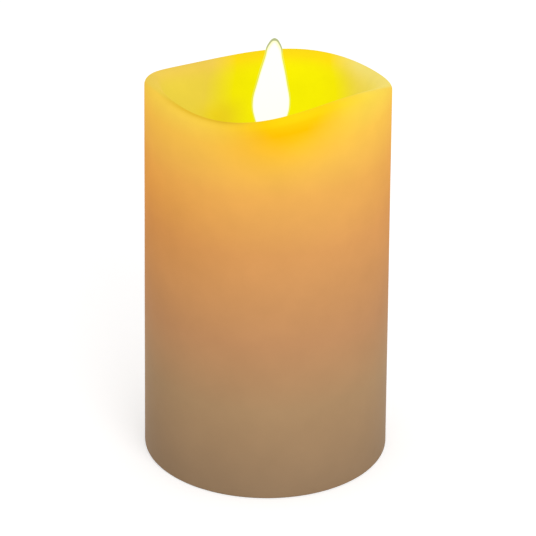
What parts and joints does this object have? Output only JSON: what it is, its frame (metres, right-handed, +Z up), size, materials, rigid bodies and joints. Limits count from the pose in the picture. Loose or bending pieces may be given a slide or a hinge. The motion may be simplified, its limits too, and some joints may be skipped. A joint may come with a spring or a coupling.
{
  "type": "flameless led candle",
  "caption": "Battery pillar candle: hollow wax shell with a wavy rim and a dished bowl, a flame that sways on a wire over a drive coil, and a battery door and slide switch underneath.",
  "frame": {"origin": "middle of the foot, on the surface the candle stands on", "axes": "+Z up along the pillar, -Y towards the front where the rim stands highest, +X to the right of the viewer"},
  "size_m": [0.0762, 0.0762, 0.1406],
  "materials": {
    "wax": "soft satin wax, lit from inside near the top",
    "flame": "frosted translucent, lit",
    "white_plastic": "fine moulded texture",
    "black_plastic": "fine moulded texture",
    "steel": "bright zinc plate",
    "contact": "nickel-plated strip",
    "magnet": "nickel plate",
    "copper": "enamelled wire",
    "board": "solder mask",
    "cell": "plain shrink jacket",
    "lens": "clear epoxy, lit",
    "red_lead": "insulated wire",
    "black_lead": "insulated wire",
    "yellow_lead": "insulated wire"
  },
  "bodies": {
    "candle": {"wax_shell": "wax", "pivot_wire": "steel", "mechanism_housing_left": "black_plastic", "mechanism_housing_right": "black_plastic", "housing_screw_front": "steel", "housing_screw_back": "steel", "mount_screw_left": "steel", "mount_screw_right": "steel", "led": "lens", "led_leg_positive": "steel", "led_leg_negative": "steel", "led_lead_positive": "red_lead", "led_lead_negative": "black_lead", "coil_bobbin": "white_plastic", "coil_winding": "copper", "coil_lead_start": "copper", "coil_lead_end": "copper", "battery_case": "white_plastic", "battery_left": "cell", "battery_right": "cell", "top_contact_positive": "contact", "top_contact_negative": "contact", "top_spring": "steel", "control_board": "board", "controller_chip": "black_plastic", "capacitor": "black_plastic", "drive_transistor": "black_plastic", "resistor_coil": "black_plastic", "resistor_led": "black_plastic", "board_screw_upper": "steel", "board_screw_lower": "steel", "battery_lead_positive": "red_lead", "battery_lead_negative": "black_lead", "base_plate": "white_plastic", "base_screw_1": "steel", "base_screw_2": "steel", "base_screw_3": "steel", "base_screw_4": "steel", "slide_switch": "steel", "switch_screw_left": "steel", "switch_screw_right": "steel", "switch_lead_on": "red_lead", "switch_lead_common": "black_lead", "switch_lead_timer": "yellow_lead"},
    "flame": {"flame_paddle": "flame", "flame_magnet": "magnet"},
    "door": {"battery_door": "white_plastic", "door_contact": "contact", "door_spring": "steel"},
    "knob": {"switch_knob": "black_plastic"}
  },
  "joints": [
    {"name": "flame_swing", "type": "hinge", "parent": "candle", "child": "flame", "pos_m": [0, 0, 0.098], "axis": [0, 1, 0], "range_deg": [-14.5, 9.5]},
    {"name": "battery_door_swing", "type": "hinge", "parent": "candle", "child": "door", "pos_m": [0, -0.01005, 0.0035], "axis": [-1, 0, 0], "range_deg": [0, 100]},
    {"name": "switch_slide", "type": "slide", "parent": "candle", "child": "knob", "axis": [1, 0, 0], "range_m": [0, 0.004]}
  ]
}
